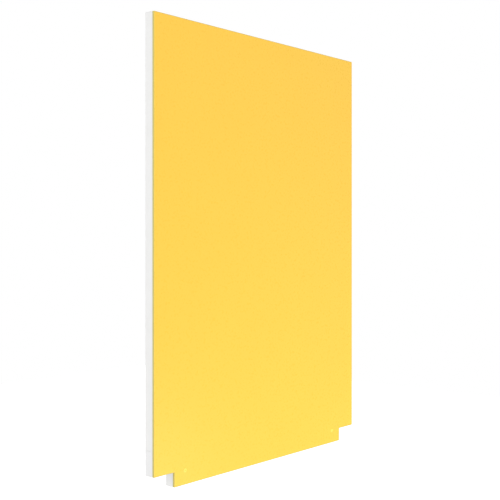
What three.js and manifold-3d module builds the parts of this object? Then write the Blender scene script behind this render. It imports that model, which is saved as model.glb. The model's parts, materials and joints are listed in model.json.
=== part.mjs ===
// A frameless wall board: a lacquered steel face sheet hooked over a hidden edge frame, with a
// honeycomb core, a steel back sheet, notched lower corners and two keyhole hangers at the back.
//
// Millimetres, +Z up. The face looks along -Y and the wall is at +Y. The origin is the bottom
// centre of the board's bounding box. "Depth" is always measured backwards from the face.

import * as THREE from "three";
import { mergeVertices } from "three/addons/utils/BufferGeometryUtils.js";
import Module from "manifold-3d";

const wasm = await Module();
wasm.setup();

// ---------------------------------------------------------------- driving dimensions

// Board
const BOARD_WIDTH = 550;
const BOARD_HEIGHT = 750;
const BOARD_DEPTH = 20; // face to the back of the frame
const CORNER_RADIUS = 1.5;

// Notches cut from both lower corners
const NOTCH_WIDTH = 45;
const NOTCH_HEIGHT = 24;

// Clearances between neighbouring pieces
const GAP = 0.3;
const CORE_GAP = 0.5;

// Lacquered face sheet, folded back round its whole outline
const SHEET_THICKNESS = 0.8;
const HEM_DEPTH = 3.4; // face to the free edge of the fold

// Extruded frame rails
const RAIL_WIDTH = 16;
const RAIL_WALL = 1.5;
const RAIL_CHAMFER = 0.8;
const RIM_WIDTH = 9; // the part of a rail that shows from behind
const REBATE_DEPTH = 1.4; // step that takes the back sheet

// Steel back sheet
const BACK_THICKNESS = 0.6;

// Top corner keys and the spigots of the notch corners
const KEY_LEG = 34;
const SPIGOT_LENGTH = 22;

// Moulded notch corners
const CORNER_RISE = 40; // how far a notch corner reaches up its side above the notch
const CORNER_RUN = 40; // and along the bottom beyond the notch
const RIB_THICKNESS = 3;
const POCKET_DEPTH = 11;

// Screws that hold the face sheet to the notch corners
const FACE_SCREW_INSET = 70; // from the board's side edge
const FACE_SCREW_RISE = 23; // above the bottom edge
const FACE_SCREW_HEAD = 3.2; // radius
const FACE_SCREW_SHANK = 1.6;
const FACE_SCREW_DOME = 0.6; // how far the head stands proud of the face
const FACE_SCREW_LENGTH = 14;

// Screws that pin the rails to the corner keys and notch corners
const PIN_SCREW_HEAD = 2.7;
const PIN_SCREW_SHANK = 1.4;
const PIN_SCREW_LENGTH = 11;
const PIN_SCREW_INSET = 5.2; // from the rail's outer face
const PIN_SCREW_FROM_END = 11; // from the rail's square end, or from the mitre's inner corner

// Keyhole hangers
const HANGER_SPACING = 400;
const BLOCK_WIDTH = 60;
const BLOCK_HEIGHT = 50;
const PLATE_WIDTH = 52;
const PLATE_HEIGHT = 42;
const PLATE_THICKNESS = 1.5;
const PLATE_RADIUS = 4;
const KEYHOLE_RADIUS = 5;
const KEYHOLE_SLOT = 5.4;
const KEYHOLE_RISE = 12; // from the centre of the round hole to the centre of the slot's end
const POCKET_WIDTH = 22;
const POCKET_HEIGHT = 32;
const POCKET_FLOOR = 5; // depth from the face
const HANGER_SCREW_HEAD = 3.1;
const HANGER_SCREW_SHANK = 1.6;
const HANGER_SCREW_LENGTH = 12;
const HANGER_SCREW_INSET = 7; // from the plate's side edge

// Blind rivets along the back sheet
const RIVET_HEAD = 2.6;
const RIVET_DOME = 0.9;
const RIVET_SHANK = 1.5;
const RIVET_LENGTH = 4;
const SIDE_RIVETS = 4;
const END_RIVETS = 3;
const SIDE_RIVET_MARGIN = 62; // from the rail's ends
const END_RIVET_SPACING = 118;

// Wall pads
const PAD_RADIUS = 10;
const PAD_PROUD = 1.6; // beyond the back of the frame
const PAD_INSET = 30; // from the board's side edge
const PAD_FROM_TOP = 40;
const PAD_ABOVE_CORNER = 22; // above the notch corner's block

const ROUND_SEGMENTS = 24;
const OVERRUN = 1; // how far a cut runs past the face that it opens

// ---------------------------------------------------------------- worked-out places

const FACE_Y = FACE_SCREW_DOME - (FACE_SCREW_DOME + BOARD_DEPTH + PAD_PROUD) / 2;
const HALF_WIDTH = BOARD_WIDTH / 2;
const SIDES = { left: -1, right: 1 };

const SEAT = SHEET_THICKNESS + GAP; // depth of the frame's front, and its inset inside the fold
const SHOULDER = HEM_DEPTH + GAP; // depth where the frame steps out flush with the fold
const REBATE_FLOOR = BOARD_DEPTH - REBATE_DEPTH;
const BACK_FRONT = REBATE_FLOOR + GAP; // depth of the back sheet's front face
const BACK_REAR = BACK_FRONT + BACK_THICKNESS;
const BACK_INSET = RIM_WIDTH + GAP;

// The hollow inside a rail, as insets from the outer face and as depths
const CHAMBER_OUT = SEAT + RAIL_WALL;
const CHAMBER_IN = RAIL_WIDTH - RAIL_WALL;
const CHAMBER_FRONT = SEAT + RAIL_WALL;
const CHAMBER_BACK = REBATE_FLOOR - RAIL_WALL;

const BLOCK_RISE = NOTCH_HEIGHT + RAIL_WIDTH; // top of a notch corner's block
const NOTCH_X = HALF_WIDTH - NOTCH_WIDTH; // the notch's upright face
const BLOCK_X = NOTCH_X - CORNER_RUN; // inner end of a notch corner
const CORNER_TOP = NOTCH_HEIGHT + CORNER_RISE; // upper end of a notch corner

const HANGER_X = HANGER_SPACING / 2;
const BLOCK_TOP = BOARD_HEIGHT - RAIL_WIDTH - GAP;
const BLOCK_FOOT = BLOCK_TOP - BLOCK_HEIGHT;
const HANGER_Z = (BLOCK_TOP + BLOCK_FOOT) / 2;
const KEYHOLE_Z = HANGER_Z - KEYHOLE_RISE / 2; // centre of the round hole
const PLATE_FRONT = BACK_REAR - PLATE_THICKNESS;
const PLATE_SEAT = PLATE_FRONT - GAP;

// ---------------------------------------------------------------- materials

const finish = (color, roughness, metalness = 0) =>
  new THREE.MeshStandardMaterial({ color, roughness, metalness });

const YELLOW_LACQUER = finish(0xfed65c, 0.25);
const WHITE_COAT = finish(0xeeeeec, 0.5);
const WHITE_PLASTIC = finish(0xf0f0ee, 0.45);
const GREY_PLASTIC = finish(0x55585c, 0.6);
const HONEYCOMB = finish(0xb58a5a, 0.9);
const GALVANISED = finish(0xb8bdc2, 0.45, 0.9);
const ZINC = finish(0xc4c6c4, 0.35, 0.9);
const RIVET_METAL = finish(0xc8cacc, 0.4, 0.9);
const RUBBER = finish(0x2b2c2e, 0.85);

// ---------------------------------------------------------------- solids

// A closed geometry as a manifold-3d solid.
function toSolid(geometry) {
  const bare = geometry.clone();
  bare.deleteAttribute("normal");
  bare.deleteAttribute("uv");
  const merged = mergeVertices(bare, 1e-4);
  return new wasm.Manifold(
    new wasm.Mesh({
      numProp: 3,
      vertProperties: merged.attributes.position.array,
      triVerts: new Uint32Array(merged.index.array),
    }),
  );
}

// A manifold-3d solid as a geometry.
function toGeometry(solid) {
  const mesh = solid.getMesh();
  const geometry = new THREE.BufferGeometry();
  geometry.setAttribute("position", new THREE.BufferAttribute(mesh.vertProperties, 3));
  geometry.setIndex(new THREE.BufferAttribute(mesh.triVerts, 1));
  geometry.computeVertexNormals();
  return geometry;
}

// One body made of several geometries joined, kept inside the solid limit if there is one, less the
// geometries in cuts.
function carve(parts, cuts = [], limit = null) {
  const joined = parts.map(toSolid).reduce((a, b) => a.add(b));
  const kept = limit ? joined.intersect(limit) : joined;
  return toGeometry(cuts.map(toSolid).reduce((a, b) => a.subtract(b), kept));
}

// A closed outline through points [x, z]. radii rounds its right-angled corners: one radius for
// all of them, or a list with one for each.
function outline(points, radii = 0) {
  const shape = new THREE.Shape();
  const corners = points.map(([x, z]) => new THREE.Vector2(x, z));
  corners.forEach((corner, i) => {
    const before = corners[(i + corners.length - 1) % corners.length];
    const after = corners[(i + 1) % corners.length];
    const radius = Array.isArray(radii) ? radii[i] : radii;
    const arrive = corner.clone().sub(before).normalize();
    const leave = after.clone().sub(corner).normalize();
    const start = corner.clone().addScaledVector(arrive, -radius);
    const end = corner.clone().addScaledVector(leave, radius);
    if (i === 0) shape.moveTo(start.x, start.y);
    else shape.lineTo(start.x, start.y);
    if (!radius) return;
    const centre = start.clone().addScaledVector(leave, radius);
    const angleTo = (point) => Math.atan2(point.y - centre.y, point.x - centre.x);
    const clockwise = arrive.cross(leave) < 0;
    shape.absarc(centre.x, centre.y, radius, angleTo(start), angleTo(end), clockwise);
  });
  return shape;
}

// A shape drawn in X and Z, made solid between two depths.
function slab(shape, front, back, curveSegments = 5) {
  const geometry = new THREE.ExtrudeGeometry(shape, {
    depth: back - front,
    bevelEnabled: false,
    curveSegments,
  });
  return geometry.rotateX(Math.PI / 2).translate(0, FACE_Y + back, 0);
}

// A box between two corners given as [x, z], and two depths.
function block([x0, z0], [x1, z1], front, back) {
  return slab(outline([[x0, z0], [x1, z0], [x1, z1], [x0, z1]]), front, back);
}

// A turned piece on an axis along Y, at [x, z]. profile holds [radius, distance] from its outer end
// inwards, and its distances run into the board from the depth given: backwards from the face if
// driven is "front", and forwards if it is "back".
function turned(profile, [x, z], depth, driven = "back") {
  const points = profile.map(([radius, distance]) => new THREE.Vector2(radius, -distance));
  const geometry = new THREE.LatheGeometry(points.reverse(), ROUND_SEGMENTS);
  if (driven === "front") geometry.rotateX(Math.PI);
  return geometry.translate(x, FACE_Y + depth, z);
}

// ---------------------------------------------------------------- outlines of the board

// The board's outline moved inwards by inset. Its lower corners are stepped round the notches.
function boardOutline(inset) {
  const side = HALF_WIDTH - inset;
  const notch = NOTCH_X - inset;
  const step = NOTCH_HEIGHT + inset;
  const top = BOARD_HEIGHT - inset;
  const outer = Math.max(CORNER_RADIUS - inset, 0);
  return outline(
    [[-notch, inset], [notch, inset], [notch, step], [side, step],
      [side, top], [-side, top], [-side, step], [-notch, step]],
    [outer, outer, 0, outer, outer, outer, outer, 0],
  );
}

// The space that the frame may fill: inside the fold at the front, and flush with it behind.
const frameEnvelope = toSolid(slab(boardOutline(SEAT), SEAT, BOARD_DEPTH)).add(
  toSolid(slab(boardOutline(0), SHOULDER, BOARD_DEPTH)),
);

// ---------------------------------------------------------------- face sheet

const faceScrewPlace = (side) => [side * (HALF_WIDTH - FACE_SCREW_INSET), FACE_SCREW_RISE];

function faceSheet() {
  const rim = boardOutline(0);
  rim.holes.push(boardOutline(SHEET_THICKNESS));
  const holes = Object.values(SIDES).map((side) => screwHole("face", faceScrewPlace(side)));
  return carve([slab(boardOutline(0), 0, SHEET_THICKNESS), slab(rim, 0, HEM_DEPTH)], holes);
}

// ---------------------------------------------------------------- frame rails

// The rail's section, with x as the inset from its outer face and y as the depth.
function railSection() {
  const section = outline([
    [0, SHOULDER],
    [SEAT, SHOULDER],
    [SEAT, SEAT],
    [RAIL_WIDTH, SEAT],
    [RAIL_WIDTH, REBATE_FLOOR],
    [RIM_WIDTH, REBATE_FLOOR],
    [RIM_WIDTH, BOARD_DEPTH],
    [RAIL_CHAMFER, BOARD_DEPTH],
    [0, BOARD_DEPTH - RAIL_CHAMFER],
  ]);
  section.holes.push(
    outline([
      [CHAMBER_OUT, CHAMBER_FRONT],
      [CHAMBER_IN, CHAMBER_FRONT],
      [CHAMBER_IN, CHAMBER_BACK],
      [CHAMBER_OUT, CHAMBER_BACK],
    ]),
  );
  return section;
}

// A straight rail from start, an [x, z] on its outer face, for length. inward is the [x, z] direction
// from the outer face into the board, and a mitred end is cut back as it goes inwards.
function rail(start, inward, length, mitreStart, mitreEnd, holes) {
  const geometry = new THREE.ExtrudeGeometry(railSection(), { depth: length, bevelEnabled: false });
  const position = geometry.attributes.position;
  for (let i = 0; i < position.count; i += 1) {
    const inset = position.getX(i);
    const atEnd = position.getZ(i) > length / 2;
    position.setZ(i, atEnd ? length - (mitreEnd ? inset : 0) : mitreStart ? inset : 0);
  }
  const across = new THREE.Vector3(inward[0], 0, inward[1]);
  const back = new THREE.Vector3(0, 1, 0);
  const along = across.clone().cross(back);
  geometry.applyMatrix4(new THREE.Matrix4().makeBasis(across, back, along));
  geometry.translate(start[0], FACE_Y, start[1]);
  return carve([geometry], holes, frameEnvelope);
}

// ---------------------------------------------------------------- screws and rivets

// Countersunk screws. Their head's widest part is level with the depth they are driven to, and a
// dome stands proud of it on the face screws.
const SCREWS = {
  face: {
    head: FACE_SCREW_HEAD,
    shank: FACE_SCREW_SHANK,
    length: FACE_SCREW_LENGTH,
    dome: FACE_SCREW_DOME,
    depth: 0,
    driven: "front",
  },
  pin: {
    head: PIN_SCREW_HEAD,
    shank: PIN_SCREW_SHANK,
    length: PIN_SCREW_LENGTH,
    dome: 0,
    depth: BOARD_DEPTH,
    driven: "back",
  },
  hanger: {
    head: HANGER_SCREW_HEAD,
    shank: HANGER_SCREW_SHANK,
    length: HANGER_SCREW_LENGTH,
    dome: 0,
    depth: BACK_REAR,
    driven: "back",
  },
};

function screw(kind, place) {
  const { head, shank, length, dome, depth, driven } = SCREWS[kind];
  const domeProfile = [[0, -dome], [head * 0.4, -dome * 0.92], [head * 0.75, -dome * 0.6]];
  const profile = [
    ...(dome ? domeProfile : [[0, 0]]),
    [head, 0],
    [shank, head - shank],
    [shank, length - shank],
    [shank * 0.4, length],
    [0, length],
  ];
  return turned(profile, place, depth, driven);
}

// The countersunk hole for a screw, larger than the screw all round by the gap.
function screwHole(kind, place) {
  const { head, shank, length, dome, depth, driven } = SCREWS[kind];
  const profile = [
    [0, -(dome + GAP)],
    [head + GAP, -(dome + GAP)],
    [head + GAP, 0],
    [shank + GAP, head - shank],
    [shank + GAP, length + GAP],
    [0, length + GAP],
  ];
  return turned(profile, place, depth, driven);
}

function rivet(place) {
  const profile = [
    [0, -RIVET_DOME],
    [RIVET_HEAD * 0.55, -RIVET_DOME * 0.8],
    [RIVET_HEAD * 0.88, -RIVET_DOME * 0.4],
    [RIVET_HEAD, 0],
    [RIVET_SHANK, 0],
    [RIVET_SHANK, RIVET_LENGTH],
    [0, RIVET_LENGTH],
  ];
  return turned(profile, place, BACK_REAR);
}

function rivetHole(place) {
  const radius = RIVET_SHANK + GAP;
  const end = RIVET_LENGTH + GAP;
  return turned([[0, -GAP], [radius, -GAP], [radius, end], [0, end]], place, BACK_REAR);
}

// Where the rivets stand, by rail.
const rivetInset = (RIM_WIDTH + RAIL_WIDTH) / 2;
const spread = (count, from, to) =>
  Array.from({ length: count }, (_, i) => from + ((to - from) * i) / (count - 1));
const endRow = spread(END_RIVETS, -END_RIVET_SPACING, END_RIVET_SPACING);
const sideRow = spread(SIDE_RIVETS, CORNER_TOP + SIDE_RIVET_MARGIN, BOARD_HEIGHT - SIDE_RIVET_MARGIN);
const RIVETS = {
  top: endRow.map((x) => [x, BOARD_HEIGHT - rivetInset]),
  bottom: endRow.map((x) => [x, rivetInset]),
  left: sideRow.map((z) => [-HALF_WIDTH + rivetInset, z]),
  right: sideRow.map((z) => [HALF_WIDTH - rivetInset, z]),
};

// Where the pin screws stand, by rail: beyond the inner corner of a mitre, and beyond a square end.
const pinBesideMitre = RAIL_WIDTH + PIN_SCREW_FROM_END;
const PINS = {
  top: Object.values(SIDES).map((side) => [
    side * (HALF_WIDTH - pinBesideMitre),
    BOARD_HEIGHT - PIN_SCREW_INSET,
  ]),
  bottom: Object.values(SIDES).map((side) => [
    side * (BLOCK_X - PIN_SCREW_FROM_END),
    PIN_SCREW_INSET,
  ]),
};
for (const [name, side] of Object.entries(SIDES))
  PINS[name] = [BOARD_HEIGHT - pinBesideMitre, CORNER_TOP + PIN_SCREW_FROM_END].map((z) => [
    side * (HALF_WIDTH - PIN_SCREW_INSET),
    z,
  ]);

const railHoles = (name) => [
  ...PINS[name].map((place) => screwHole("pin", place)),
  ...RIVETS[name].map(rivetHole),
];

function topRail() {
  const start = [-HALF_WIDTH + GAP, BOARD_HEIGHT];
  return rail(start, [0, -1], BOARD_WIDTH - 2 * GAP, true, true, railHoles("top"));
}

function bottomRail() {
  const start = [BLOCK_X - GAP, 0];
  return rail(start, [0, 1], 2 * (BLOCK_X - GAP), false, false, railHoles("bottom"));
}

function sideRail(name) {
  const length = BOARD_HEIGHT - CORNER_TOP - 2 * GAP;
  const x = SIDES[name] * HALF_WIDTH;
  if (name === "left")
    return rail([x, CORNER_TOP + GAP], [1, 0], length, false, true, railHoles(name));
  return rail([x, BOARD_HEIGHT - GAP], [-1, 0], length, true, false, railHoles(name));
}

// ---------------------------------------------------------------- corner keys

// An L that slides into the two rails that meet at a top corner.
function cornerKey(side) {
  const out = CHAMBER_OUT + GAP;
  const inner = CHAMBER_IN - GAP;
  const leg = RAIL_WIDTH + KEY_LEG;
  const x = (inset) => side * (HALF_WIDTH - inset);
  const z = (inset) => BOARD_HEIGHT - inset;
  const shape = outline([
    [x(out), z(out)],
    [x(leg), z(out)],
    [x(leg), z(inner)],
    [x(inner), z(inner)],
    [x(inner), z(leg)],
    [x(out), z(leg)],
  ]);
  const pins = [...PINS.top, ...PINS[side < 0 ? "left" : "right"]];
  return carve(
    [slab(shape, CHAMBER_FRONT + GAP, CHAMBER_BACK - GAP)],
    pins.map((place) => screwHole("pin", place)),
  );
}

// ---------------------------------------------------------------- notch corners

// The stepped moulding round a notch, moved in from the board's outer faces by inset.
function notchCornerOutline(side, inset) {
  const x = (value) => side * value;
  return outline([
    [x(HALF_WIDTH - inset), CORNER_TOP],
    [x(HALF_WIDTH - inset), NOTCH_HEIGHT + inset],
    [x(NOTCH_X - inset), NOTCH_HEIGHT + inset],
    [x(NOTCH_X - inset), inset],
    [x(BLOCK_X), inset],
    [x(BLOCK_X), BLOCK_RISE],
    [x(HALF_WIDTH - RAIL_WIDTH), BLOCK_RISE],
    [x(HALF_WIDTH - RAIL_WIDTH), CORNER_TOP],
  ]);
}

// Pockets moulded into the back of a notch corner, as [x from, z from, x to, z to]. Ribs stand
// between them, and a solid boss is left round the face screw.
function notchPockets() {
  const rib = RIB_THICKNESS;
  const boss = HALF_WIDTH - FACE_SCREW_INSET + FACE_SCREW_SHANK + GAP + rib;
  const sideMiddle = (HALF_WIDTH + NOTCH_X) / 2;
  const middle = BLOCK_RISE / 2;
  return [
    [sideMiddle + rib / 2, NOTCH_HEIGHT + rib, HALF_WIDTH - rib, BLOCK_RISE - rib],
    [NOTCH_X, NOTCH_HEIGHT + rib, sideMiddle - rib / 2, BLOCK_RISE - rib],
    [boss, rib, NOTCH_X - rib, middle - rib / 2],
    [boss, middle + rib / 2, NOTCH_X - rib, BLOCK_RISE - rib],
  ];
}

function notchCorner(name) {
  const side = SIDES[name];
  const out = CHAMBER_OUT + GAP;
  const inner = CHAMBER_IN - GAP;
  const front = CHAMBER_FRONT + GAP;
  const back = CHAMBER_BACK - GAP;
  const lap = OVERRUN; // how far joined solids reach into each other
  const x = (value) => side * value;
  const upright = block(
    [x(HALF_WIDTH - out), CORNER_TOP - lap],
    [x(HALF_WIDTH - inner), CORNER_TOP + SPIGOT_LENGTH],
    front,
    back,
  );
  const level = block([x(BLOCK_X + lap), out], [x(BLOCK_X - SPIGOT_LENGTH), inner], front, back);
  const pockets = notchPockets().map(([x0, z0, x1, z1]) =>
    block([x(x0), z0], [x(x1), z1], BOARD_DEPTH - POCKET_DEPTH, BOARD_DEPTH + OVERRUN),
  );
  return carve(
    [
      slab(notchCornerOutline(side, SEAT), SEAT, SHOULDER + lap),
      slab(notchCornerOutline(side, 0), SHOULDER, BOARD_DEPTH),
      upright,
      level,
    ],
    [
      ...pockets,
      screwHole("face", faceScrewPlace(side)),
      ...[...PINS.bottom, ...PINS[name]].map((place) => screwHole("pin", place)),
    ],
    frameEnvelope,
  );
}

// ---------------------------------------------------------------- core and back sheet

// Honeycomb boards that fill the frame, cut round the hanger blocks and the notch corners.
const CORE_SIDE = HALF_WIDTH - RAIL_WIDTH - CORE_GAP;
const CORE_TOP = BOARD_HEIGHT - RAIL_WIDTH - CORE_GAP;
const CORE_SHELF = BLOCK_FOOT - CORE_GAP; // level of the blocks' feet
const CORE_STEP = BLOCK_RISE + CORE_GAP; // level of the notch corners' tops
const blockOuter = HANGER_X + BLOCK_WIDTH / 2 + CORE_GAP;
const blockInner = HANGER_X - BLOCK_WIDTH / 2 - CORE_GAP;
const CORES = {
  core_main: [-CORE_SIDE, CORE_STEP, CORE_SIDE, CORE_SHELF - CORE_GAP],
  core_top_left: [-CORE_SIDE, CORE_SHELF, -blockOuter, CORE_TOP],
  core_top_middle: [-blockInner, CORE_SHELF, blockInner, CORE_TOP],
  core_top_right: [blockOuter, CORE_SHELF, CORE_SIDE, CORE_TOP],
  core_bottom: [
    -BLOCK_X + CORE_GAP,
    RAIL_WIDTH + CORE_GAP,
    BLOCK_X - CORE_GAP,
    CORE_STEP - CORE_GAP,
  ],
};

const core = ([x0, z0, x1, z1]) => block([x0, z0], [x1, z1], SEAT, BACK_FRONT - GAP);

function backSheet() {
  const side = HALF_WIDTH - BACK_INSET;
  const inner = BLOCK_X - GAP;
  const step = BLOCK_RISE + GAP;
  const upright = HALF_WIDTH - RAIL_WIDTH - GAP; // clears the notch corner's leg
  const legTop = CORNER_TOP + GAP;
  const top = BOARD_HEIGHT - BACK_INSET;
  const shape = outline([
    [-inner, BACK_INSET], [inner, BACK_INSET], [inner, step], [upright, step], [upright, legTop],
    [side, legTop], [side, top], [-side, top], [-side, legTop], [-upright, legTop],
    [-upright, step], [-inner, step],
  ]);
  const windows = Object.values(SIDES).map((sign) => {
    const half = BLOCK_WIDTH / 2 + GAP;
    const x = sign * HANGER_X;
    const low = [x - half, BLOCK_FOOT - GAP];
    const high = [x + half, BLOCK_TOP + GAP];
    return block(low, high, BACK_FRONT - OVERRUN, BACK_REAR + OVERRUN);
  });
  const holes = Object.values(RIVETS).flat().map(rivetHole);
  return carve([slab(shape, BACK_FRONT, BACK_REAR)], [...windows, ...holes]);
}

// ---------------------------------------------------------------- hangers

const hangerScrewPlaces = (side) =>
  [-1, 1].map((end) => [
    side * HANGER_X + end * (PLATE_WIDTH / 2 - HANGER_SCREW_INSET),
    HANGER_Z,
  ]);

function hangerBlock(side) {
  const x = side * HANGER_X;
  const plate = [PLATE_WIDTH / 2 + GAP, PLATE_HEIGHT / 2 + GAP];
  const pocket = [POCKET_WIDTH / 2, POCKET_HEIGHT / 2];
  const cut = ([w, h], front) =>
    block([x - w, HANGER_Z - h], [x + w, HANGER_Z + h], front, BOARD_DEPTH + OVERRUN);
  return carve(
    [block([x - BLOCK_WIDTH / 2, BLOCK_FOOT], [x + BLOCK_WIDTH / 2, BLOCK_TOP], SEAT, BACK_REAR)],
    [
      cut(plate, PLATE_SEAT),
      cut(pocket, POCKET_FLOOR),
      ...hangerScrewPlaces(side).map((place) => screwHole("hanger", place)),
    ],
  );
}

// The keyhole: a round hole for the wall screw's head, with a slot for its neck above it.
function keyholeOutline(x) {
  const half = KEYHOLE_SLOT / 2;
  const slotTop = KEYHOLE_Z + KEYHOLE_RISE;
  const open = Math.acos(half / KEYHOLE_RADIUS); // where the slot leaves the round hole
  const shape = new THREE.Path();
  shape.absarc(x, slotTop, half, 0, Math.PI, false);
  shape.absarc(x, KEYHOLE_Z, KEYHOLE_RADIUS, Math.PI - open, 2 * Math.PI + open, false);
  shape.closePath();
  return shape;
}

function hangerPlate(side) {
  const x = side * HANGER_X;
  const [w, h] = [PLATE_WIDTH / 2, PLATE_HEIGHT / 2];
  const shape = outline(
    [[x - w, HANGER_Z - h], [x + w, HANGER_Z - h], [x + w, HANGER_Z + h], [x - w, HANGER_Z + h]],
    PLATE_RADIUS,
  );
  shape.holes.push(keyholeOutline(x));
  return carve(
    [slab(shape, PLATE_FRONT, BACK_REAR, 10)],
    hangerScrewPlaces(side).map((place) => screwHole("hanger", place)),
  );
}

// ---------------------------------------------------------------- wall pads

function wallPad(place) {
  const thick = BOARD_DEPTH + PAD_PROUD - BACK_REAR;
  const edge = 0.5;
  const profile = [
    [0, -thick],
    [PAD_RADIUS - edge, -thick],
    [PAD_RADIUS, -thick + edge],
    [PAD_RADIUS, 0],
    [0, 0],
  ];
  return turned(profile, place, BACK_REAR);
}

// ---------------------------------------------------------------- assembly

const board = new THREE.Group();

function add(name, geometry, material) {
  const mesh = new THREE.Mesh(geometry, material);
  mesh.name = name;
  board.add(mesh);
}

add("face_sheet", faceSheet(), YELLOW_LACQUER);
add("top_rail", topRail(), WHITE_COAT);
add("bottom_rail", bottomRail(), WHITE_COAT);
add("back_sheet", backSheet(), GALVANISED);
for (const [name, extent] of Object.entries(CORES)) add(name, core(extent), HONEYCOMB);

for (const [name, side] of Object.entries(SIDES)) {
  add(`${name}_rail`, sideRail(name), WHITE_COAT);
  add(`corner_key_${name}`, cornerKey(side), GREY_PLASTIC);
  add(`notch_corner_${name}`, notchCorner(name), WHITE_PLASTIC);
  add(`face_screw_${name}`, screw("face", faceScrewPlace(side)), YELLOW_LACQUER);
  add(`hanger_block_${name}`, hangerBlock(side), GREY_PLASTIC);
  add(`hanger_plate_${name}`, hangerPlate(side), ZINC);
  hangerScrewPlaces(side).forEach((place, i) => {
    add(`hanger_screw_${name}_${i + 1}`, screw("hanger", place), ZINC);
  });
  const padX = side * (HALF_WIDTH - PAD_INSET);
  add(`wall_pad_top_${name}`, wallPad([padX, BOARD_HEIGHT - PAD_FROM_TOP]), RUBBER);
  add(`wall_pad_bottom_${name}`, wallPad([padX, BLOCK_RISE + PAD_ABOVE_CORNER]), RUBBER);
}

for (const [railName, places] of Object.entries(PINS))
  places.forEach((place, i) => add(`pin_screw_${railName}_${i + 1}`, screw("pin", place), ZINC));
for (const [railName, places] of Object.entries(RIVETS))
  places.forEach((place, i) => add(`rivet_${railName}_${i + 1}`, rivet(place), RIVET_METAL));

export default board;
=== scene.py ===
# %% [markdown]
# # A steel-faced wall board
# The board is a thin sandwich: a lacquered steel face folded back round its edge, a white coated
# frame behind the fold, a honeycomb core, a galvanised back sheet, and two keyhole hangers let into
# the back. Both lower corners are notched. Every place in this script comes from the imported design,
# in metres, with +Z up, the face towards -Y and the wall at +Y.

# %% Load the design
import json
import math

import bmesh
import bpy
from mathutils import Matrix, Vector


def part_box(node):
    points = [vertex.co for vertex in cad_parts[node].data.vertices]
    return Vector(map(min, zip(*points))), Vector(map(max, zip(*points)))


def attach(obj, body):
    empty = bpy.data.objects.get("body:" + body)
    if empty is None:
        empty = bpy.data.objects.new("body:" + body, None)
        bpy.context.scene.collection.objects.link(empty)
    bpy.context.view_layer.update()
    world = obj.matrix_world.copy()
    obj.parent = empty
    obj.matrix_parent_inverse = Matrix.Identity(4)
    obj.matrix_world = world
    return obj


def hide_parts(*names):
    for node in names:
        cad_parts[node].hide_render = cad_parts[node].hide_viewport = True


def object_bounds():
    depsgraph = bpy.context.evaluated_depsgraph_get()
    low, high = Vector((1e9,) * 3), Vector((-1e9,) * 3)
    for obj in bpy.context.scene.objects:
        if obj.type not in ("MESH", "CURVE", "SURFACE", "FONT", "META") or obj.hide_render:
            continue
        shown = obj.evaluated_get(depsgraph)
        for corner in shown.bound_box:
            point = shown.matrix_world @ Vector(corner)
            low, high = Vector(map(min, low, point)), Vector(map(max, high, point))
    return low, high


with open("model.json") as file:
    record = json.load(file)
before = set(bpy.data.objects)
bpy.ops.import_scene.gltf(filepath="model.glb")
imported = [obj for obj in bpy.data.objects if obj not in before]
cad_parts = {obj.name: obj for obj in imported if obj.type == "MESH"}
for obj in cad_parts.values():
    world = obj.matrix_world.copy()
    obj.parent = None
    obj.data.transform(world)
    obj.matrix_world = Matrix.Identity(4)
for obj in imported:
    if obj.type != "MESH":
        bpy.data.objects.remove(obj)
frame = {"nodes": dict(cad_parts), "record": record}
cad_low, cad_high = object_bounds()
print("design box, mm:", [round(1000 * size, 1) for size in cad_high - cad_low])

# %% [markdown]
# ## Camera
# The board is seen from its front left, with the camera level with the middle of the face, so
# that upright edges stay upright. A camera could be tilted to frame the board, but a tilt makes
# uprights converge. A level camera with a small vertical shift keeps them true.

# %% Camera
CAMERA_PLACE = (-1.2949, -1.0590, 0.3940)
CAMERA_YAW = math.radians(50.05)  # turned from straight at the wall towards +X
CAMERA_LENS = 67.52  # mm, on a sensor 36 mm wide
CAMERA_SHIFT = -0.0204

camera = bpy.data.objects.new("camera", bpy.data.cameras.new("camera"))
camera.location = CAMERA_PLACE
camera.rotation_euler = (math.pi / 2, 0, -CAMERA_YAW)
camera.data.lens = CAMERA_LENS
camera.data.sensor_width = 36
camera.data.shift_y = CAMERA_SHIFT
bpy.context.scene.collection.objects.link(camera)
bpy.context.scene.camera = camera

# %% [markdown]
# ## Studio
# A white product studio: a pale floor far below the hung board, a bright even surround and large
# soft lights. The surround and the floor could light the board as brightly as they look, but then
# every side would be equally bright and the board would have no form. So both look white and
# cast less, and the lamps do the rest. Each is wider than the board, because a small lamp would
# draw a hard highlight on the lacquer. The "Standard" view keeps paint colours as they are mixed.

# %% Floor and surround
MM = 0.001
FLOOR_LEVEL = -2.0
FLOOR_SIZE = 24.0

bpy.context.scene.view_settings.view_transform = "Standard"


def seen_or_cast(tree, socket, seen, cast):
    """A strength with one value where the camera sees it, and another where it lights the board."""
    ray = tree.nodes.new("ShaderNodeLightPath")
    level = tree.nodes.new("ShaderNodeMapRange")
    level.inputs["To Min"].default_value = cast
    level.inputs["To Max"].default_value = seen
    tree.links.new(ray.outputs["Is Camera Ray"], level.inputs["Value"])
    tree.links.new(level.outputs["Result"], socket)


def make_surround(seen, cast):
    """A plain white world."""
    world = bpy.data.worlds.new("surround")
    world.use_nodes = True
    background = world.node_tree.nodes["Background"]
    background.inputs["Color"].default_value = (1, 1, 1, 1)
    seen_or_cast(world.node_tree, background.inputs["Strength"], seen, cast)
    bpy.context.scene.world = world


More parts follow.
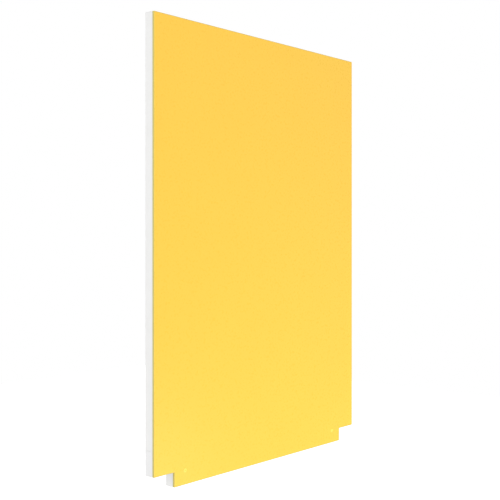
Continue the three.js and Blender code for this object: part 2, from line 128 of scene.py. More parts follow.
def make_floor(seen, cast):
    """A pale matt floor that looks as bright as the surround."""
    bm = bmesh.new()
    bmesh.ops.create_grid(bm, x_segments=8, y_segments=8, size=FLOOR_SIZE / 2)
    bmesh.ops.translate(bm, verts=bm.verts, vec=(0, 0, FLOOR_LEVEL))
    mesh = bpy.data.meshes.new("studio_floor")
    bm.to_mesh(mesh)
    bm.free()
    floor = bpy.data.objects.new("studio_floor", mesh)
    bpy.context.scene.collection.objects.link(floor)
    paint = bpy.data.materials.new("studio_floor")
    paint.use_nodes = True
    shader = paint.node_tree.nodes["Principled BSDF"]
    shader.inputs["Base Color"].default_value = (0.9, 0.9, 0.9, 1)
    shader.inputs["Roughness"].default_value = 0.9
    shader.inputs["Specular IOR Level"].default_value = 0.1
    shader.inputs["Emission Color"].default_value = (1, 1, 1, 1)
    seen_or_cast(paint.node_tree, shader.inputs["Emission Strength"], seen, cast)
    mesh.materials.append(paint)


make_surround(seen=1.0, cast=0.58)
make_floor(seen=0.7, cast=0.12)
print("floor at", FLOOR_LEVEL, "m")

# %% Soft lights
WHITE = (1, 1, 1)
PALE_YELLOW = (1, 1, 0.6)
BOARD_MIDDLE = Vector((0, 0, (cad_low.z + cad_high.z) / 2))
BOARD_FOOT = (0.1, 0, 0)


def soft_light(name, place, width, height, power, colour=WHITE, target=BOARD_MIDDLE):
    """A large rectangular lamp at place, aimed at target."""
    lamp = bpy.data.lights.new(name, "AREA")
    lamp.shape = "RECTANGLE"
    lamp.size = width
    lamp.size_y = height
    lamp.energy = power
    lamp.color = colour
    holder = bpy.data.objects.new(name, lamp)
    holder.location = place
    aim = Vector(target) - Vector(place)
    holder.rotation_euler = aim.to_track_quat("-Z", "Y").to_euler()
    bpy.context.scene.collection.objects.link(holder)
    return holder


soft_light("front_light", (-0.9, -2.6, 1.5), 2.4, 2.0, 21)
soft_light("low_front_light", (0.3, -1.3, -0.55), 1.6, 0.8, 12.5, PALE_YELLOW, BOARD_FOOT)
soft_light("left_light", (-2.4, 0.3, 0.6), 1.6, 2.2, 19.5)
soft_light("back_light", (1.2, 2.8, 1.5), 2.8, 2.2, 13)

# %% [markdown]
# ## Sizes
# Sizes are read back from the design: the box of a node, or the place of a mount. So the looks
# follow the design when it changes. Depths run backwards from the face, as they do on the bench.

# %% Sizes read from the design
mounts = {mount["name"]: Vector(mount["pos_m"]) for mount in frame["record"]["mounts"]}
face_low, face_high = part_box("face_sheet")
rail_low, rail_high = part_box("left_rail")
back_low, back_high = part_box("back_sheet")

GAP = 0.3 * MM  # between neighbouring pieces
SHEET_THICKNESS = 0.8 * MM
HALF_WIDTH = face_high.x
TOP = face_high.z
FRONT = face_low.y
HEM_BACK = face_high.y
REAR = rail_high.y
SEAT = FRONT + SHEET_THICKNESS + GAP  # front of the frame, inside the fold
SHOULDER = HEM_BACK + GAP  # where the frame steps out flush with the fold
REBATE = back_low.y - GAP  # the ledge that takes the back sheet
NOTCH_HEIGHT = mounts["notch_seat_left"].z
NOTCH_X = 2 * abs(mounts["notch_seat_left"].x) - HALF_WIDTH
SIDES = {"left": -1, "right": 1}
print("face, mm:", round(2000 * HALF_WIDTH, 1), "x", round(1000 * TOP, 1))


def middle_of(node):
    """The centre of a node's box."""
    low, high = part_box(node)
    return (low + high) / 2

# %% [markdown]
# ## Finishes
# Each finish is built from noise and cell patterns on Object coordinates, which are metres here, so
# a scale of 300 makes marks about 3 mm across. Image textures would need unwrapping and would fix
# the detail at one distance. Colour and roughness vary a little together, and a fine bump gives
# the surface its grain. The helpers are named after what they do: noise and cells are the Noise and
# Voronoi textures, spread is Map Range, and blend is Mix.

# %% Helpers for finishes
class Finish:
    """A Principled material, with short calls that add one procedural step each."""

    def __init__(self, name, metallic=0.0, specular=0.5):
        self.material = bpy.data.materials.new(name)
        self.material.use_nodes = True
        self.tree = self.material.node_tree
        self.shader = self.tree.nodes["Principled BSDF"]
        self.shader.inputs["Metallic"].default_value = metallic
        self.shader.inputs["Specular IOR Level"].default_value = specular
        self.place = self.tree.nodes.new("ShaderNodeTexCoord").outputs["Object"]

    def stretched(self, scale):
        """Object coordinates stretched by a factor on each axis."""
        mapping = self.tree.nodes.new("ShaderNodeMapping")
        mapping.inputs["Scale"].default_value = scale
        self.tree.links.new(self.place, mapping.inputs["Vector"])
        return mapping.outputs["Vector"]

    def warped(self, scale, reach):
        """Object coordinates pushed about by a noise, by up to half of reach."""
        return self.shifted(self.noise(scale, 2.0, output="Color"), (1, 1, 1), reach)

    def shifted(self, amount, scale, reach=1.0):
        """Object coordinates stretched by scale, plus an amount times reach."""
        node = self.tree.nodes.new("ShaderNodeVectorMath")
        node.operation = "MULTIPLY_ADD"
        self.tree.links.new(amount, node.inputs[0])
        node.inputs[1].default_value = (reach, reach, reach)
        self.tree.links.new(self.stretched(scale), node.inputs[2])
        return node.outputs["Vector"]

    def depth(self):
        """How far back a point lies, along Y."""
        node = self.tree.nodes.new("ShaderNodeSeparateXYZ")
        self.tree.links.new(self.place, node.inputs["Vector"])
        return node.outputs["Y"]

    def noise(self, scale, detail=3.0, vector=None, output="Fac"):
        node = self.tree.nodes.new("ShaderNodeTexNoise")
        node.inputs["Scale"].default_value = scale
        node.inputs["Detail"].default_value = detail
        self.tree.links.new(vector or self.place, node.inputs["Vector"])
        return node.outputs[output]

    def cells(self, scale, feature="F1", output="Distance", vector=None):
        node = self.tree.nodes.new("ShaderNodeTexVoronoi")
        node.feature = feature
        node.inputs["Scale"].default_value = scale
        self.tree.links.new(vector or self.place, node.inputs["Vector"])
        return node.outputs[output]

    def spread(self, value, low, high, start=0.3, end=0.7):
        """Values from start to end become low to high, and stay inside those."""
        node = self.tree.nodes.new("ShaderNodeMapRange")
        for name, number in (("From Min", start), ("From Max", end), ("To Min", low), ("To Max", high)):
            node.inputs[name].default_value = number
        self.tree.links.new(value, node.inputs["Value"])
        return node.outputs["Result"]

    def blend(self, value, first, second):
        """A colour between two others. Either may be a colour or another step's output."""
        node = self.tree.nodes.new("ShaderNodeMix")
        node.data_type = "RGBA"
        self.tree.links.new(value, node.inputs["Factor"])
        for socket, colour in (("A", first), ("B", second)):
            target = next(i for i in node.inputs if i.name == socket and i.type == "RGBA")
            if isinstance(colour, bpy.types.NodeSocket):
                self.tree.links.new(colour, target)
            else:
                target.default_value = (*colour, 1)
        return next(o for o in node.outputs if o.type == "RGBA")

    def colour(self, source):
        self.tree.links.new(source, self.shader.inputs["Base Color"])

    def roughness(self, source):
        self.tree.links.new(source, self.shader.inputs["Roughness"])

    def bump(self, height, strength, depth):
        """Raises the surface by height, for a relief of about depth metres."""
        node = self.tree.nodes.new("ShaderNodeBump")
        node.inputs["Strength"].default_value = strength
        node.inputs["Distance"].default_value = depth
        self.tree.links.new(height, node.inputs["Height"])
        before = self.shader.inputs["Normal"].links
        if before:
            self.tree.links.new(before[0].from_socket, node.inputs["Normal"])
        self.tree.links.new(node.outputs["Normal"], self.shader.inputs["Normal"])


finishes = {}

# %% [markdown]
# ### Yellow lacquer
# Stoved enamel on steel: one even, glossy yellow. Up close it has a faint orange peel a few
# millimetres across, and its pigment drifts by about a hundredth from place to place. The fold is
# painted olive as shade: a ramp on the depth behind the face puts this painted shade on every side
# of the board. The caps of the face screws take a lighter mix, a painted highlight on their domes,
# which is the same recipe with other colours.

# %% Yellow lacquer
# Where the painted shade of the fold starts and ends, in depth behind the face.
FOLD_SHADE_START, FOLD_SHADE_END = FRONT + 0.02 * MM, FRONT + 0.35 * MM


def make_lacquer(name, first, second, fold_shade_colour):
    """Stoved yellow enamel: two close tones, and an olive painted shade on the fold."""
    lacquer = Finish(name, specular=0.3)
    drift = lacquer.blend(lacquer.spread(lacquer.noise(7, 2), 0, 1), first, second)
    speckle = lacquer.spread(lacquer.noise(1400, 2), 0, 0.025)
    speckled = lacquer.blend(speckle, drift, (1.0, 0.69, 0.12))
    # Painted shade: the lacquer turns olive with depth behind the face, standing in for the shade on
    # the fold.
    fold_shade_mask = lacquer.spread(lacquer.depth(), 0, 1, FOLD_SHADE_START, FOLD_SHADE_END)
    lacquer.colour(lacquer.blend(fold_shade_mask, speckled, fold_shade_colour))
    lacquer.roughness(lacquer.spread(lacquer.noise(260, 4), 0.26, 0.31))
    lacquer.bump(lacquer.noise(300, 1), 0.025, 0.04 * MM)
    lacquer.bump(lacquer.noise(2600, 2), 0.025, 0.02 * MM)
    return lacquer.material


finishes["yellow_lacquer"] = make_lacquer(
    "yellow_lacquer", (0.985, 0.600, 0.078), (0.980, 0.606, 0.080), fold_shade_colour=(0.62, 0.53, 0.15)
)
# Painted highlight: the face screws' caps are a lighter yellow than the face, for the light on their
# domes.
finishes["painted_highlight"] = make_lacquer(
    "painted_highlight_lacquer", (1.0, 0.86, 0.20), (1.0, 0.84, 0.19), fold_shade_colour=(0.95, 0.70, 0.14)
)

# %% [markdown]
# ### White coat and white mouldings
# The rails are powder coated: the powder melts into a fine, slightly pebbled skin. The notch
# corners are moulded in white plastic with a spark-eroded texture, which is finer and more even,
# and the flow of the plastic leaves broad bands of slightly different gloss. One white could serve
# for both, but then the seam between them would be all that tells metal from plastic.

# %% White coat and white plastic
coat = Finish("white_powder_coat", specular=0.4)
coat.colour(
    coat.blend(coat.spread(coat.noise(45, 4), 0, 1), (0.845, 0.845, 0.835), (0.87, 0.87, 0.865))
)
coat.roughness(coat.spread(coat.noise(900, 3), 0.42, 0.58))
coat.bump(coat.noise(1500, 2), 0.25, 0.06 * MM)
finishes["white_coat"] = coat.material

moulding = Finish("white_moulded_plastic", specular=0.45)
flow = moulding.noise(30, 2, moulding.stretched((1, 3, 0.4)))
moulding.colour(moulding.blend(moulding.spread(flow, 0, 1), (0.86, 0.86, 0.86), (0.875, 0.875, 0.88)))
moulding.roughness(moulding.spread(flow, 0.36, 0.5))
moulding.bump(moulding.cells(2400), 0.18, 0.04 * MM)
finishes["white_plastic"] = moulding.material

# %% [markdown]
# ### Grey nylon
# The hanger blocks and corner keys are glass-filled nylon: dark grey, matt, with short pale fibres
# near the surface that all lie roughly the way the plastic flowed. They could be drawn one by one
# as curves, but a noise squeezed along one axis gives the same streaks and costs nothing.

# %% Grey nylon
nylon = Finish("grey_filled_nylon", specular=0.35)
fibres = nylon.noise(900, 4, nylon.stretched((1, 1, 0.12)))
fibre_tips = nylon.spread(fibres, 0, 1, 0.52, 0.72)
nylon.colour(nylon.blend(fibre_tips, (0.075, 0.08, 0.087), (0.16, 0.165, 0.17)))
nylon.roughness(nylon.spread(nylon.noise(300, 3), 0.45, 0.68))
nylon.bump(nylon.noise(1800, 3), 0.3, 0.08 * MM)
finishes["grey_plastic"] = nylon.material

# %% [markdown]
# ### Galvanised steel
# Hot zinc freezes on the back sheet in flat crystals, the spangle. Each crystal throws the light
# back a little differently, so a cell pattern, warped to break its straight borders, gives every
# cell its own grey and roughness. The same cell colour shifts a fine streaky noise, so that the
# feathering inside a crystal stops at its border.

# %% Galvanised steel
galvanised = Finish("galvanised_spangle", metallic=1.0)
warped = galvanised.warped(scale=120, reach=5 * MM)
crystal = galvanised.cells(72, output="Color", vector=warped)
split = galvanised.tree.nodes.new("ShaderNodeSeparateColor")
galvanised.tree.links.new(crystal, split.inputs["Color"])
shade, grain = split.outputs["Red"], split.outputs["Green"]
feathers = galvanised.noise(420, 5, galvanised.shifted(crystal, (1, 1, 0.25)))
plain = galvanised.blend(shade, (0.47, 0.49, 0.51), (0.60, 0.62, 0.635))
feathered = galvanised.blend(galvanised.spread(feathers, 0, 0.55, 0.35, 0.7), plain, (0.66, 0.68, 0.69))
smear = galvanised.spread(galvanised.noise(6, 5, galvanised.stretched((1, 1, 0.3))), 0, 0.3, 0.5, 0.75)
galvanised.colour(galvanised.blend(smear, feathered, (0.58, 0.59, 0.59)))
galvanised.roughness(galvanised.spread(grain, 0.34, 0.5, 0, 1))
border = galvanised.cells(72, "DISTANCE_TO_EDGE", vector=warped)
galvanised.bump(galvanised.spread(border, 0, 1, 0.0, 0.06), 0.06, 0.02 * MM)
galvanised.bump(feathers, 0.08, 0.02 * MM)
finishes["galvanised"] = galvanised.material

# %% [markdown]
# ### Zinc plate, rivet metal, rubber and kraft paper
# Clear passivated zinc is a bluish silver that turns faintly straw in patches. Blind rivets are
# soft aluminium, burnished by the setting tool. The pads are grained black rubber that has picked
# up dust. The core is brown kraft paper with long fibres. Bare metals differ less in colour than
# in how evenly they shine, so each has its own roughness as well as its own tint.

# %% Zinc plate and rivet metal
zinc = Finish("clear_zinc_plate", metallic=1.0)
tint = zinc.spread(zinc.noise(60, 3), 0, 1, 0.4, 0.65)
zinc.colour(zinc.blend(tint, (0.66, 0.70, 0.74), (0.74, 0.71, 0.62)))
zinc.roughness(zinc.spread(zinc.noise(700, 4, zinc.stretched((1, 1, 0.15))), 0.24, 0.42))
zinc.bump(zinc.noise(1600, 2), 0.1, 0.03 * MM)
finishes["zinc"] = zinc.material

burnished = Finish("burnished_aluminium", metallic=1.0)
rubbed = burnished.spread(burnished.noise(500, 3), 0, 1)
burnished.colour(burnished.blend(rubbed, (0.62, 0.63, 0.64), (0.78, 0.79, 0.8)))
burnished.roughness(burnished.spread(burnished.noise(1500, 3), 0.25, 0.42))
burnished.bump(burnished.noise(2200, 2), 0.12, 0.03 * MM)
finishes["rivet_metal"] = burnished.material

# %% Rubber and kraft paper
rubber = Finish("grained_rubber", specular=0.3)
dust = rubber.spread(rubber.noise(240, 5), 0, 0.45, 0.5, 0.8)
rubber.colour(rubber.blend(dust, (0.026, 0.026, 0.027), (0.11, 0.105, 0.10)))
rubber.roughness(rubber.spread(rubber.noise(600, 3), 0.5, 0.8))
rubber.bump(rubber.cells(1300), 0.4, 0.12 * MM)
finishes["rubber"] = rubber.material

kraft = Finish("kraft_paper", specular=0.2)
strands = kraft.noise(700, 5, kraft.stretched((1, 0.2, 0.5)))
kraft.colour(kraft.blend(kraft.spread(strands, 0, 1), (0.36, 0.22, 0.11), (0.52, 0.35, 0.19)))
kraft.roughness(kraft.spread(strands, 0.8, 0.95))
kraft.bump(strands, 0.35, 0.08 * MM)
finishes["honeycomb"] = kraft.material
print("finishes:", sorted(finishes))

# %% [markdown]
# ## From bmesh to a piece
# A pressed sheet is modelled as one surface and then given its thickness. A Solidify modifier
# would do that too, but doing it here lets later steps round the new edges. Every piece ends the
# same way: faces turn outwards, edges sharper than a set angle stay crisp, a modifier keeps the
# shading of large flats flat beside small roundings, and the piece rides on the board's one body
# and stands for its design nodes.

# %% Thickness and soft edges
SHARP_ANGLE = math.radians(32)
SOFT_ANGLE = math.radians(40)


def thicken(bm, thickness, looks):
    """Gives a sheet its thickness, behind the side that looks along Y (+1) or against it (-1)."""
    bmesh.ops.recalc_face_normals(bm, faces=bm.faces)
    if looks * sum(face.normal.y * face.calc_area() for face in bm.faces) < 0:
        bmesh.ops.reverse_faces(bm, faces=bm.faces)
    bmesh.ops.solidify(bm, geom=bm.faces[:], thickness=thickness)


def soften(bm, width, segments=3):
    """Rounds every sharp edge."""
    bm.normal_update()
    sharp = [edge for edge in bm.edges if edge.calc_face_angle(0) > SOFT_ANGLE]
    bmesh.ops.bevel(
        bm, geom=sharp, offset=width, segments=segments, profile=0.5, affect="EDGES", material=-1,
        clamp_overlap=True,
    )

# %% Finish a piece
def make_piece(bm, name, finish, nodes):
    """Turns a bmesh into a piece that stands for the design nodes named."""
    bmesh.ops.recalc_face_normals(bm, faces=bm.faces)
    for face in bm.faces:
        face.smooth = True
    mesh = bpy.data.meshes.new(name)
    bm.to_mesh(mesh)
    bm.free()
    mesh.set_sharp_from_angle(angle=SHARP_ANGLE)
    mesh.materials.append(finishes[finish])
    piece = bpy.data.objects.new(name, mesh)
    bpy.context.scene.collection.objects.link(piece)
    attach(piece, "root")
    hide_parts(*nodes)
    shading = piece.modifiers.new("flat_stays_flat", "WEIGHTED_NORMAL")
    shading.keep_sharp = True
    return piece

# %% [markdown]
# ## Flat faces and rings
# A sheet or the back of a moulding starts as one flat face drawn through its corners. Rounding a
# corner is a bevel of its vertex. Each hole, pocket or window starts as a ring of edges that lies
# on the face.

# %% Draw flat outlines
CORNER_SEGMENTS = 5


def round_corners(bm, verts, radius):
    """Rounds an outline at some of its vertices."""
    bmesh.ops.bevel(
        bm, geom=verts, offset=radius, segments=CORNER_SEGMENTS, profile=0.5, affect="VERTICES",
        material=-1,
    )


def flat_face(bm, corners, y):
    """One flat face through corners (x, z), at y."""
    return bm.faces.new([bm.verts.new((x, y, z)) for x, z in corners])


def draw_out(bm, faces, move):
    """Extrudes faces as one region and moves them. Returns the new vertices and faces."""
    geom = set(faces)
    for face in faces:
        geom.update(face.edges, face.verts)
    made = bmesh.ops.extrude_face_region(bm, geom=list(geom))["geom"]
    verts = [item for item in made if isinstance(item, bmesh.types.BMVert)]
    bmesh.ops.translate(bm, verts=verts, vec=move)
    return verts, [item for item in made if isinstance(item, bmesh.types.BMFace)]

# %% Rings of edges
HOLE_SEGMENTS = 32


def loose_ring(bm, face):
    """Takes a face away and keeps its ring of edges."""
    ring = list(face.edges)
    bmesh.ops.delete(bm, geom=[face], context="FACES_ONLY")
    return ring


def round_ring(bm, centre, radius, segments=HOLE_SEGMENTS):
    """A circle of edges that faces along Y."""
    place = Matrix.Translation(centre) @ Matrix.Rotation(math.pi / 2, 4, "X")
    made = bmesh.ops.create_circle(bm, segments=segments, radius=radius, matrix=place)
    return list({edge for vert in made["verts"] for edge in vert.link_edges})


def box_ring(bm, low, high, y, radius):
    """A rounded rectangle of edges between low and high (x, z), at y."""
    earlier = set(bm.faces)
    corners = [(low[0], low[1]), (high[0], low[1]), (high[0], high[1]), (low[0], high[1])]
    round_corners(bm, list(flat_face(bm, corners, y).verts), radius)
    return loose_ring(bm, next(face for face in bm.faces if face not in earlier))

# %% [markdown]
# ## Windows, holes and pockets
# To open a face round a ring, the face under it is cut along four straight lines, the small
# rectangle that is left is taken out, and its edge is bridged to the ring. A boolean would do this
# too, but bridging keeps even rings of quads, which take a countersink or draft cleanly. A ring is
# then extruded step by step, so that its walls lean or taper like a tool's.

# %% Cut a window
FLAT = 1e-6  # metres; closer than this counts as touching


def face_at(bm, point):
    """The flat face that a point lies on."""
    bm.normal_update()
    for face in bm.faces:
        level = abs(face.normal.dot(point - face.verts[0].co)) < FLAT
        if level and bmesh.geometry.intersect_face_point(face, point):
            return face
    raise ValueError(f"no face at {tuple(point)}")


def cut_window(bm, low, high):
    """Cuts a face along the sides of a rectangle, and returns the face that is left inside it."""
    middle = (low + high) / 2
    for axis in range(3):
        if high[axis] - low[axis] < FLAT:
            continue
        normal = [float(axis == i) for i in range(3)]
        for side in (low, high):
            face = face_at(bm, middle)
            geom = [face, *face.edges, *face.verts]
            bmesh.ops.bisect_plane(bm, geom=geom, plane_co=side, plane_no=normal, dist=FLAT / 10)
    return face_at(bm, middle)

# %% Join a ring to a window
def join_rings(bm, outer, inner, across):
    """Bridges two rings in one plane. The inner one is lifted meanwhile, which gives them an order."""
    verts = list({vert for edge in inner for vert in edge.verts})
    lift = MM * Vector(across)
    bmesh.ops.translate(bm, verts=verts, vec=lift)
    bmesh.ops.bridge_loops(bm, edges=outer + inner)
    bmesh.ops.translate(bm, verts=verts, vec=-lift)


def span_of(ring):
    """The lowest and highest corner of a ring of edges."""
    places = [vert.co for edge in ring for vert in edge.verts]
    low = Vector([min(place[i] for place in places) for i in range(3)])
    high = Vector([max(place[i] for place in places) for i in range(3)])
    return low, high


def pierce(bm, ring, margin=0.6 * MM):
    """Opens the flat face under a ring, and joins the face to the ring."""
    low, high = span_of(ring)
    grow = Vector((margin, 0, margin))
    window = cut_window(bm, low - grow, high + grow)
    bmesh.ops.subdivide_edges(bm, edges=list(window.edges), cuts=len(ring) // 4 - 1)
    rim = loose_ring(bm, face_at(bm, (low + high) / 2))
    join_rings(bm, rim, ring, (0, 1, 0))

# %% Draw a ring in, and drill
HOLE_MARGIN = 0.15 * MM


def sink(bm, ring, steps, close=False):
    """Extrudes a ring along Y. Each step is (width against the first ring's, distance from it)."""
    low, high = span_of(ring)
    middle = (low + high) / 2
    width, distance = 1.0, 0.0
    for new_width, new_distance in steps:
        made = bmesh.ops.extrude_edge_only(bm, edges=ring)["geom"]
        verts = [item for item in made if isinstance(item, bmesh.types.BMVert)]
        ring = [item for item in made if isinstance(item, bmesh.types.BMEdge)]
        factor = new_width / width
        size = Matrix.Diagonal((factor, 1, factor, 1))
        about = Matrix.Translation(middle)
        bmesh.ops.transform(bm, matrix=about @ size @ about.inverted(), verts=verts)
        bmesh.ops.translate(bm, verts=verts, vec=(0, new_distance - distance, 0))
        width, distance = new_width, new_distance
    if close:
        bmesh.ops.edgeloop_fill(bm, edges=ring)
    return ring


def drill(bm, place, start, end, mouth, bore):
    """A hole along Y between two flat faces, countersunk if its mouth is wider than its bore."""
    top = round_ring(bm, Vector((place.x, start, place.z)), mouth)
    pierce(bm, top, HOLE_MARGIN)
    if mouth > bore:
        top = sink(bm, top, [(bore / mouth, math.copysign(mouth - bore, end - start))])
    foot = round_ring(bm, Vector((place.x, end, place.z)), bore)
    pierce(bm, foot, HOLE_MARGIN)
    bmesh.ops.bridge_loops(bm, edges=top + foot)

# %% [markdown]
# ## Face sheet
# The steel face wraps round its own edge: a tight fold runs along the whole outline and down into
# the notches, and ends in a narrow hem, which shows from the side as a thin line in painted shade.
# The outline is drawn first and its outer corners rounded. Then the two screw holes are opened,
# with the steel dimpled into them, and only then is the boundary drawn backwards and the fold rounded.
# A Solidify modifier on a box would make the same shell, but not its open back or its dimples.

# %% Outline and dimples
FOLD_RADIUS = 1.4 * MM
CORNER_RADIUS = 1.5 * MM
DIMPLE = [(0.06 * MM, 0.02 * MM), (0.18 * MM, 0.1 * MM), (0.9 * MM, 0.8 * MM)]  # (inwards, deep)

board_corners = [
    (-NOTCH_X, 0), (NOTCH_X, 0), (NOTCH_X, NOTCH_HEIGHT), (HALF_WIDTH, NOTCH_HEIGHT),
    (HALF_WIDTH, TOP), (-HALF_WIDTH, TOP), (-HALF_WIDTH, NOTCH_HEIGHT), (-NOTCH_X, NOTCH_HEIGHT),
]
inner_corners = [2, 7]  # where a notch's seat meets its upright
print("outline:", len(board_corners), "corners,", len(inner_corners), "of them inner")

# %% Face sheet
def make_face_sheet():
    bm = bmesh.new()
    corners = flat_face(bm, board_corners, FRONT).verts
    round_corners(bm, [vert for i, vert in enumerate(corners) if i not in inner_corners], CORNER_RADIUS)
    holes = []
    for side in SIDES:
        low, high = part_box(f"face_screw_{side}")
        mouth = (high.x - low.x) / 2 + 1.5 * GAP
        place = middle_of(f"face_screw_{side}")
        ring = round_ring(bm, Vector((place.x, FRONT, place.z)), mouth)
        pierce(bm, ring, margin=2 * MM)
        holes += ring + sink(bm, ring, [(1 - inwards / mouth, deep) for inwards, deep in DIMPLE])
    rim = [edge for edge in bm.edges if edge.is_boundary and edge not in holes]
    hem = bmesh.ops.extrude_edge_only(bm, edges=rim)["geom"]
    hem = [item for item in hem if isinstance(item, bmesh.types.BMVert)]
    bmesh.ops.translate(bm, verts=hem, vec=(0, HEM_BACK - FRONT, 0))
    bmesh.ops.bevel(
        bm, geom=rim, offset=FOLD_RADIUS, segments=5, profile=0.5, affect="EDGES", material=-1
    )
    thicken(bm, SHEET_THICKNESS, looks=-1)
    return make_piece(bm, "lacquered_face", "yellow_lacquer", ["face_sheet"])


face_piece = make_face_sheet()
print("face sheet:", len(face_piece.data.polygons), "faces")

# %% [markdown]
# ## Rails
# A rail is a length of hollow section. It could be cut from a box, but a real one is pushed through
# a die, so here the section is drawn once, its edges rounded, and the ring between its outside
# and its chamber extruded along the rail. A mitre is a shear of one end, and a few plane cuts
# round the tip to the board's corner radius.

# %% Rail section
RAIL_WALL = 1.5 * MM
RAIL_WIDTH = rail_high.x - rail_low.x
RIM_WIDTH = back_low.x + HALF_WIDTH - GAP  # the part of a rail that shows from behind
RAIL_EDGE = 0.3 * MM
RAIL_REAR_EDGE = 0.8 * MM
CHAMBER_BACK = REBATE - RAIL_WALL


def make_section(bm):
    """The flat ring between a rail's outside and its chamber, with X running in from the edge."""
    outside = [
        (0, REAR), (0, SHOULDER), (SEAT - FRONT, SHOULDER), (SEAT - FRONT, SEAT), (RAIL_WIDTH, SEAT),
        (RAIL_WIDTH, REBATE), (RIM_WIDTH, REBATE), (RIM_WIDTH, REAR),
    ]
    verts = [bm.verts.new((inset, y, 0)) for inset, y in outside]
    bm.faces.new(verts)
    rear_corner, others = verts[0], verts[1:]
    round_corners(bm, others, RAIL_EDGE)
    round_corners(bm, [rear_corner], RAIL_REAR_EDGE)
    ring = loose_ring(bm, bm.faces[:][0])
    near, far = SEAT - FRONT + RAIL_WALL, RAIL_WIDTH - RAIL_WALL
    front = SEAT + RAIL_WALL
    chamber = [(near, front), (far, front), (far, CHAMBER_BACK), (near, CHAMBER_BACK)]
    inside = bm.faces.new([bm.verts.new((inset, y, 0)) for inset, y in chamber])
    join_rings(bm, ring, loose_ring(bm, inside), (0, 0, 1))

# %% Mitres and rounded tips
TIP_CUTS = (7.5, 22.5, 37.5)  # degrees, up to the mitre at 45


def mitre(bm, end, inset_slope):
    """Leans the end of a rail by 45 degrees, so that it gets shorter towards the board's middle."""
    verts = [vert for vert in bm.verts if abs(vert.co.z - end) < FLAT]
    lean = Matrix(((1, 0, 0, 0), (0, 1, 0, 0), (inset_slope, 0, 1, 0), (0, 0, 0, 1)))
    bmesh.ops.transform(bm, matrix=lean, verts=verts)


def saw(bm, point, normal):
    """Cuts off all that lies beyond a plane, and closes the cut."""
    geom = [*bm.verts, *bm.edges, *bm.faces]
    made = bmesh.ops.bisect_plane(bm, geom=geom, plane_co=point, plane_no=normal, clear_outer=True)
    cut = [item for item in made["geom_cut"] if isinstance(item, bmesh.types.BMEdge)]
    bmesh.ops.edgeloop_fill(bm, edges=cut)


def round_tip(bm, corner, way):
    """Rounds a mitre's tip with a few cuts. Way is +1 where the rail ends, -1 where it starts."""
    for degrees in TIP_CUTS:
        turn = math.radians(degrees)
        normal = Vector((-math.cos(turn), 0, way * math.sin(turn)))
        point = Vector((CORNER_RADIUS, 0, corner - way * CORNER_RADIUS)) + normal * CORNER_RADIUS
        saw(bm, point, normal)

# %% Where each rail lies
def rail_spot(name):
    """A rail's own frame, X in from the board's edge and Z along the rail, and its length."""
    upright = TOP - GAP - rail_low.z
    bottom_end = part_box("bottom_rail")[1].x
    degrees, start, length = {
        "left": (0, (-HALF_WIDTH, 0, rail_low.z), upright),
        "top": (90, (GAP - HALF_WIDTH, 0, TOP), 2 * (HALF_WIDTH - GAP)),
        "right": (180, (HALF_WIDTH, 0, TOP - GAP), upright),
        "bottom": (-90, (bottom_end, 0, 0), 2 * bottom_end),
    }[name]
    return Matrix.Translation(start) @ Matrix.Rotation(math.radians(degrees), 4, "Y"), length

# %% Four rails
PIN_HEAD = 2.7 * MM
PIN_SHANK = 1.4 * MM
RIVET_SHANK = 1.5 * MM


def make_rail(name, mitred_start, mitred_end):
    spot, length = rail_spot(name)
    bm = bmesh.new()
    make_section(bm)
    draw_out(bm, bm.faces[:], (0, 0, length))
    if mitred_start:
        mitre(bm, 0, 1)
        round_tip(bm, -GAP, -1)
    if mitred_end:
        mitre(bm, length, -1)
        round_tip(bm, length + GAP, 1)
    holes = [
        (f"pin_screw_{name}", REAR, PIN_HEAD + GAP, PIN_SHANK + GAP),
        (f"rivet_{name}", REBATE, RIVET_SHANK + GAP, RIVET_SHANK + GAP),
    ]
    for fixing, start, mouth, bore in holes:
        for node in frame["nodes"]:
            if node.startswith(fixing):
                drill(bm, spot.inverted() @ middle_of(node), start, CHAMBER_BACK, mouth, bore)
    bmesh.ops.transform(bm, matrix=spot, verts=bm.verts)
    return make_piece(bm, f"{name}_frame_rail", "white_coat", [f"{name}_rail"])


rails = [
    make_rail("left", False, True), make_rail("top", True, True),
    make_rail("right", True, False), make_rail("bottom", False, False),
]
print("rails, faces:", [len(rail.data.polygons) for rail in rails])

# %% [markdown]
# ## Notch corners
# Each notch is lined by one white moulding: solid to the eye from outside, but pocketed behind so
# that its walls are even and don't sink as they cool. Its outline is drawn flat, pushed through
# to the shoulder, and stepped in to fit the fold. The pockets have rounded corners and draft, so
# that the part would leave its mould. Two spigots plug into the rails.

# %% Outline and pockets of a notch corner
RIB = 3 * MM
BOSS_RADIUS = 4.9 * MM  # the solid part round the face screw
leg_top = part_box("right_rail")[0].z - GAP  # top of the moulding's upright leg
run_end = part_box("bottom_rail")[1].x + GAP  # where the moulding meets the bottom rail
block_top = NOTCH_HEIGHT + RAIL_WIDTH
screw_x = middle_of("face_screw_right").x


def notch_outline():
    """The right moulding's outline (x, z), from the foot of its upright leg's outer face."""
    inner = HALF_WIDTH - RAIL_WIDTH
    return [
        (HALF_WIDTH, NOTCH_HEIGHT), (HALF_WIDTH, leg_top), (inner, leg_top), (inner, block_top),
        (run_end, block_top), (run_end, 0), (NOTCH_X, 0), (NOTCH_X, NOTCH_HEIGHT),
    ]


def notch_pockets():
    """The pockets in the moulding's back, as low and high corners (x, z)."""
    middle_x = (HALF_WIDTH + NOTCH_X) / 2
    boss = screw_x + BOSS_RADIUS
    half = RIB / 2
    return [
        ((middle_x + half, NOTCH_HEIGHT + RIB), (HALF_WIDTH - RIB, block_top - RIB)),
        ((NOTCH_X, NOTCH_HEIGHT + RIB), (middle_x - half, block_top - RIB)),
        ((boss, RIB), (NOTCH_X - RIB, block_top / 2 - half)),
        ((boss, block_top / 2 + half), (NOTCH_X - RIB, block_top - RIB)),
    ]

# %% Outer edges and spigots
SPIGOT = 22 * MM
SPIGOT_TAPER = 2 * MM
SPIGOT_TIP = 0.86  # of the spigot's width


